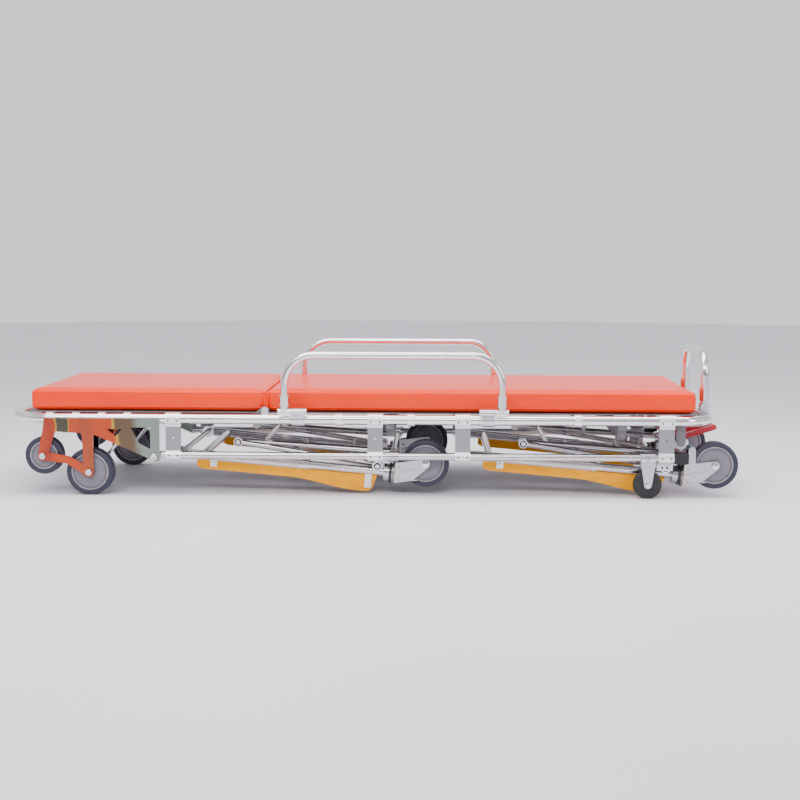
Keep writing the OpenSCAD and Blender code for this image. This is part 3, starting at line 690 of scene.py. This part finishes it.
def cushion_block(low, high, inset):
    """A box with rounded edges, its faces moved in from low and high by inset."""
    start_clean()
    size = [b - a - 2 * spare for a, b, spare in zip(low, high, inset)]
    centre = [(a + b) / 2 for a, b in zip(low, high)]
    bpy.ops.mesh.primitive_cube_add(size=1, location=centre)
    cushion = bpy.context.object
    cushion.scale = size
    freeze(cushion)
    apply_modifier(cushion, "BEVEL", width=0.01, segments=4, limit_method="ANGLE")
    return cushion


def swell(cushion, voxel, cap, frames=16):
    """Fills the cushion by a short cloth simulation, moving no point more than cap."""
    apply_modifier(cushion, "REMESH", mode="VOXEL", voxel_size=voxel)
    before = [vertex.co.copy() for vertex in cushion.data.vertices]
    select_only(cushion)
    cloth = cushion.modifiers.new("Cloth", "CLOTH")
    cloth.settings.use_pressure = True
    cloth.settings.uniform_pressure_force = 4
    cloth.settings.effector_weights.gravity = 0
    cloth.settings.tension_stiffness = 30
    cloth.settings.compression_stiffness = 30
    cloth.settings.bending_stiffness = 4
    cloth.point_cache.frame_start = 1
    cloth.point_cache.frame_end = frames
    for number in range(1, frames + 1):
        bpy.context.scene.frame_set(number)
    bpy.ops.object.modifier_apply(modifier=cloth.name)
    bpy.context.scene.frame_set(1)
    for vertex, old in zip(cushion.data.vertices, before):
        move = vertex.co - old
        if move.length > cap:
            vertex.co = old + move * (cap / move.length)


def welt(cushion, low, high, height, radius, name, body):
    """Piping round the cushion, laid on its skin a little below the top or above the bottom."""
    round_corner = 0.022
    steps = 8
    points = []
    corners = ((high[0], high[1], 0), (low[0], high[1], 90), (low[0], low[1], 180),
               (high[0], low[1], 270))
    for x, y, start in corners:
        cx = x - math.copysign(round_corner, x - (low[0] + high[0]) / 2)
        cy = y - math.copysign(round_corner, y - (low[1] + high[1]) / 2)
        for step in range(steps + 1):
            angle = math.radians(start + 90 * step / steps)
            points.append(Vector((cx + round_corner * math.cos(angle),
                                  cy + round_corner * math.sin(angle), height)))
    path = []
    for a, b in zip(points, points[1:] + points[:1]):
        count = max(1, int((b - a).length / 0.02))
        path += [a + (b - a) * k / count for k in range(count)]
    on_skin = []
    for point in path:
        hit, place, normal, _ = cushion.closest_point_on_mesh(point)
        on_skin.append(place + normal * radius * 0.15 if hit else point)
    start_clean()
    bpy.ops.curve.primitive_bezier_curve_add()
    cord = bpy.context.object
    cord.data.splines.clear()
    spline = cord.data.splines.new("POLY")
    spline.points.add(len(on_skin) - 1)
    for point, place in zip(spline.points, on_skin):
        point.co = (*place, 1)
    spline.use_cyclic_u = True
    cord.data.dimensions = "3D"
    cord.data.bevel_depth = radius
    cord.data.bevel_resolution = 2
    cord.location = (0, 0, 0)
    select_only(cord)
    bpy.ops.object.convert(target="MESH")
    return finish_piece(bpy.context.object, name, "orange_vinyl", body, angle=80)


def make_mattress():
    """Two filled cushions with piping, split at the seam."""
    seam_x = hinge_point("backrest_tilt").x
    pieces = {}
    for node in ("head_cushion", "foot_cushion"):
        low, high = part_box(node)
        low, high = Vector(low), Vector(high)
        if node == "head_cushion":
            high.x = seam_x - 0.0005
        else:
            low.x = seam_x + 0.0005
        cushion = cushion_block(low, high, (-0.0015, 0.003, 0.003))
        swell(cushion, 0.0075, 0.0045)
        apply_modifier(cushion, "SMOOTH", factor=0.5, iterations=3)
        apply_modifier(cushion, "SUBSURF", levels=1, render_levels=1)
        floor_z = low.z + 0.0002
        for vertex in cushion.data.vertices:
            vertex.co.z = max(vertex.co.z, floor_z)
        cords = [welt(cushion, low, high, high.z - 0.006, 0.0017, node + "_top_welt", None),
                 welt(cushion, low, high, low.z + 0.008, 0.0015, node + "_bottom_welt", None)]
        finish_piece(cushion, node + "_pad", "orange_vinyl", None, angle=60)
        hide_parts(node)
        pieces[node] = [cushion, *cords]
    for piece in pieces["foot_cushion"]:
        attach(piece, "frame")
    for piece in pieces["head_cushion"]:
        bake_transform(piece)


# ---------------------------------------------------------------- wheels

def castor_wheel(diameter, width):
    """Tyre, pale ring and hub on z, at the origin."""
    radius = diameter / 2
    tread = 0.0145
    tyre = turned_disc(radius, width,
                       [(0.003, 0.0), (tread - 0.003, 0.0012), (0.0012, width * 0.42)],
                       vertices=96, bevel=0.0032)
    rim = radius - tread - 0.0006
    ring = turned_disc(rim + 0.0014, width - 0.0022, [(0.0011, 0.0), (0.0004, width * 0.4)],
                       vertices=96, bevel=0.0003)
    hub = turned_disc(rim, width - 0.003,
                      [(0.0008, -0.0006), (0.0022, 0.0), (0.0005, 0.0026), (0.0022, 0.0),
                       (0.0006, -0.0022), (rim - 0.0075 - 0.0125, 0.0006), (0.001, 0.0012),
                       (0.0035, 0.0), (0.0012, -0.0035)],
                      vertices=96, bevel=0.0004)
    return tyre, ring, hub


def place_wheel(parts, names, joint, body, replaced):
    """Copies of a wheel's parts on a joint's axis; tyre and hub stand for their CAD nodes."""
    centre = hinge_point(joint)
    turn = Matrix.Rotation(math.radians(90), 4, "X")
    slots = (("castor_tyre", "castor_tyre"), ("grey_hub", "pale_ring"), ("grey_hub", "grey_hub"))
    for part, name, (slot, paint) in zip(parts, names, slots):
        copy = copy_of(part, Matrix.Translation(centre) @ turn)
        piece = finish_piece(copy, name, slot, body, angle=30, paint=paint)
        if paint == slot:
            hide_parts(replaced[slot])


def make_wheels():
    big = castor_wheel(0.125, 0.032)
    small = castor_wheel(0.1, 0.032)
    for side, _ in SIDES:
        for end in ENDS:
            place_wheel(big, [f"castor_{end}_{side}_{part}" for part in ("tyre", "ring", "wheel")],
                        f"castor_{end}_{side}_spin", f"castor_{end}_{side}",
                        {"castor_tyre": f"castor_tyre_{end}_{side}",
                         "grey_hub": f"castor_hub_{end}_{side}"})
        for kind, parts in (("head_wheel", big), ("loading_wheel", small)):
            place_wheel(parts, [f"{kind}_{side}_{part}" for part in ("tyre", "ring", "centre")],
                        f"{kind}_{side}_spin", f"{kind}_{side}",
                        {"castor_tyre": f"{kind}_tyre_{side}",
                         "grey_hub": f"{kind}_hub_{side}"})
    for part in (*big, *small):
        discard(part)


# ---------------------------------------------------------------- legs

def leg_matrix(end, side):
    """From a leg's own axes (x along the leg) to the frame, on one side."""
    pivot = hinge_point(f"{end}_leg_fold")
    leg_y = abs(hinge_point("castor_front_right_spin").y)
    turn = Matrix.Rotation(LEG_SLOPE, 4, "Y")
    return Matrix.Translation((pivot.x, side * leg_y, pivot.z)) @ turn


def fluted_tube(radius, length, flutes, depth):
    """A tube on x from the origin with grooves along it."""
    tube = add_cylinder(radius, length, place=(length / 2, 0, 0), axis=(1, 0, 0),
                        vertices=flutes * 4)
    freeze(tube)
    for vertex in tube.data.vertices:
        angle = math.atan2(vertex.co.z, vertex.co.y)
        groove = max(0.0, math.cos(angle * flutes)) ** 2
        shrink = 1 - depth / radius * groove
        vertex.co.y *= shrink
        vertex.co.z *= shrink
    apply_modifier(tube, "BEVEL", width=0.0004, segments=1, limit_method="ANGLE",
                   angle_limit=math.radians(60))
    return tube


def make_legs():
    """A fluted sleeve and a collar on each leg tube."""
    sleeve = fluted_tube(0.0128, 0.31, 12, 0.0012)
    collar = turned_disc(0.0142, 0.02, [(0.0012, -0.0004), (0.001, 0)], vertices=48)
    for end in ENDS:
        for side, sign in SIDES:
            place = leg_matrix(end, sign)
            finish_piece(copy_of(sleeve, place @ Matrix.Translation((0.018, 0, 0))),
                         f"{end}_{side}_leg_sleeve", "drawn_aluminium", f"{end}_leg")
            turn = Matrix.Rotation(math.radians(90), 4, "Y")
            finish_piece(copy_of(collar, place @ Matrix.Translation((0.336, 0, 0)) @ turn),
                         f"{end}_{side}_leg_collar", "cast_clamp", f"{end}_leg")
    discard(sleeve)
    discard(collar)


# ---------------------------------------------------------------- stage

def make_camera():
    bpy.ops.object.camera_add(location=(0.171, -3.821, 0.645))
    camera = bpy.context.object
    camera.rotation_euler = (math.radians(90 - 6.22), math.radians(-0.17), math.radians(1.52))
    camera.data.lens = 61.35
    bpy.context.scene.camera = camera


def make_floor():
    start_clean()
    bpy.ops.mesh.primitive_circle_add(vertices=96, radius=9, fill_type="NGON", location=(0, 0, 0))
    floor = bpy.context.object
    floor.name = "floor"
    material = new_material("pale_floor", (0.88, 0.88, 0.95), roughness=0.6, specular=0.2)
    clouds = object_pattern(material, "ShaderNodeTexNoise", 1.5, detail=3)
    vary_colour(material, clouds.outputs["Fac"],
                [(0.3, (0.86, 0.86, 0.93)), (0.7, (0.9, 0.9, 0.97))])
    floor.data.materials.append(material)


def add_area_light(name, place, target, size, power, colour=(1, 1, 1)):
    bpy.ops.object.light_add(type="AREA", location=place)
    light = bpy.context.object
    light.name = name
    light.data.shape = "RECTANGLE"
    light.data.size, light.data.size_y = size
    light.data.energy = power
    light.data.color = colour
    light.rotation_euler = (Vector(target) - Vector(place)).to_track_quat("-Z", "Y").to_euler()


def make_world():
    """Pale room, darker low down behind the camera so that bare metal has something to reflect."""
    world = bpy.data.worlds.new("studio")
    bpy.context.scene.world = world
    world.use_nodes = True
    background = world.node_tree.nodes["Background"]
    coordinates = add_node(world, "ShaderNodeTexCoord")
    split = add_node(world, "ShaderNodeSeparateXYZ")
    link(world, coordinates.outputs["Generated"], split.inputs["Vector"])
    height = scaled_sum(world, split.outputs["Z"], 1.6, split.outputs["Y"])
    walls = colour_ramp(world, share_between(world, height, -0.75, 0.35),
                        [(0.0, (0.4, 0.37, 0.39)), (1.0, (0.86, 0.83, 0.86))])
    cards = add_node(world, "ShaderNodeTexNoise")
    cards.inputs["Scale"].default_value = 2.2
    cards.inputs["Detail"].default_value = 1
    link(world, coordinates.outputs["Generated"], cards.inputs["Vector"])
    shade = share_between(world, cards.outputs["Fac"], 0.42, 0.56, floor=0.62)
    ahead = share_between(world, split.outputs["Y"], 0.5, 0.8)
    dim = add_node(world, "ShaderNodeMath", operation="MAXIMUM")
    link(world, shade, dim.inputs[0])
    link(world, ahead, dim.inputs[1])
    room = add_node(world, "ShaderNodeVectorMath", operation="SCALE")
    link(world, walls, room.inputs[0])
    link(world, dim.outputs["Value"], room.inputs["Scale"])
    link(world, room.outputs["Vector"], background.inputs["Color"])
    background.inputs["Strength"].default_value = 1.3


def make_lights():
    add_area_light("top_softbox", (0.1, -0.3, 2.2), (0, 0, 0.2), (3.2, 1.3), 75)
    add_area_light("front_softbox", (-0.8, -3.0, 2.3), (0, 0, 0.15), (3.0, 0.8), 62)
    add_area_light("right_softbox", (2.6, -1.8, 1.2), (0.3, 0, 0.15), (0.8, 1.2), 14)


make_camera()
make_floor()
make_world()
make_lights()
make_mattress()
make_wheels()
make_legs()
make_frame_bolts()
make_castor_bolts()
make_brace_fittings()
make_head_stays()
make_rail_plates()
make_rail_bolts()
make_seam_folds()
